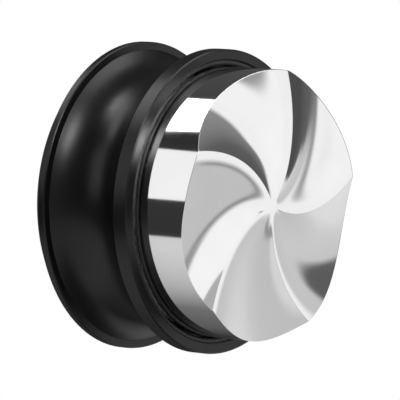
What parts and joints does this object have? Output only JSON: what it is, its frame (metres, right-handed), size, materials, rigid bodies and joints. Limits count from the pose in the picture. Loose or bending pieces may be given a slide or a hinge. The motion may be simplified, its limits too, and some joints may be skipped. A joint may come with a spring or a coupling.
{
  "type": "coffee distributor",
  "caption": "Palm-held coffee distributor: black spool handle with a flared cap, and a polished steel base whose face is a swirl of curved blades; the base winds in and out to set its depth.",
  "frame": {"origin": "on the axis, at the height of the blades' lowest lines, on which the part stands", "axes": "+Z along the axis, from the steel base up to the cap; +X through the outer end of one blade's crest"},
  "size_m": [0.0674, 0.0674, 0.0399],
  "materials": {
    "black_anodised": "satin bead-blasted, black anodised",
    "mark_paint": "matt paint fill",
    "seal_rubber": "matt",
    "guide_nylon": "matt, moulded",
    "washer_acetal": "matt",
    "insert_steel": "turned",
    "screw_steel": "black oxide",
    "polished_steel": "mirror polished",
    "stem_steel": "turned",
    "spring_steel": "phosphated"
  },
  "bodies": {
    "base": {"fan_base": "polished_steel", "carrier": "stem_steel", "centre_screw": "screw_steel", "lock_washer": "spring_steel", "drive_pins": "stem_steel", "stem_circlip": "spring_steel"},
    "stop_washer": {"stop_washer": "spring_steel"},
    "handle": {"palm_cap": "black_anodised", "cap_mark": "mark_paint", "cap_seal": "seal_rubber", "grip_body": "black_anodised", "guide_ring": "guide_nylon", "thrust_washer": "washer_acetal", "thread_insert": "insert_steel", "insert_screws": "screw_steel", "friction_rings": "seal_rubber"}
  },
  "joints": [
    {"name": "depth_turn", "type": "hinge", "parent": "base", "child": "stop_washer", "pos_m": [0, 0, 0.0281], "axis": [0, 0, 1], "range_deg": [-540, 360]},
    {"name": "depth_slide", "type": "slide", "parent": "stop_washer", "child": "handle", "axis": [0, 0, 1], "range_m": [-0.00225, 0.0015]}
  ],
  "couplings": [
    {"joint": "depth_slide", "follows": "depth_turn", "m_per_rad": 0.00023873}
  ]
}
